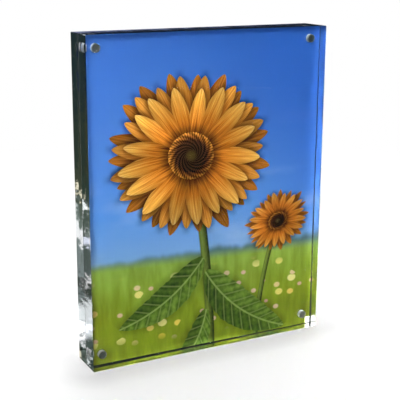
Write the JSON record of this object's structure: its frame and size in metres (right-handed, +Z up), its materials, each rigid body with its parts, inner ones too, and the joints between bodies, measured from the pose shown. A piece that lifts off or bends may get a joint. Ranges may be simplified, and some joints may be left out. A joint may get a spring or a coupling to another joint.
{
  "type": "acrylic block frame",
  "caption": "Free-standing photo display: a print held between thick clear acrylic blocks that small round corner magnets pull together.",
  "frame": {"origin": "middle of the base, on the surface that the frame stands on", "axes": "+Z up, the picture faces -Y, +X to the right as seen from the front"},
  "size_m": [0.2032, 0.0304, 0.254],
  "materials": {
    "acrylic": "clear cast acrylic, polished faces and edges",
    "print": "semi-gloss colour photograph paper, white back",
    "magnet": "bright nickel plating"
  },
  "bodies": {
    "rear_half": {"rear_block": "acrylic", "rear_magnet_top_left": "magnet", "rear_magnet_top_right": "magnet", "rear_magnet_bottom_left": "magnet", "rear_magnet_bottom_right": "magnet"},
    "front_half": {"front_block": "acrylic", "front_magnet_top_left": "magnet", "front_magnet_top_right": "magnet", "front_magnet_bottom_left": "magnet", "front_magnet_bottom_right": "magnet"},
    "print": {"photo_print": "print"}
  },
  "joints": [
    {"name": "front_pull_off", "type": "slide", "parent": "rear_half", "child": "front_half", "axis": [0, -1, 0], "range_m": [0, 0.06]},
    {"name": "print_lift_out", "type": "slide", "parent": "rear_half", "child": "print", "axis": [0, 0, 1], "range_m": [0, 0.254]}
  ]
}
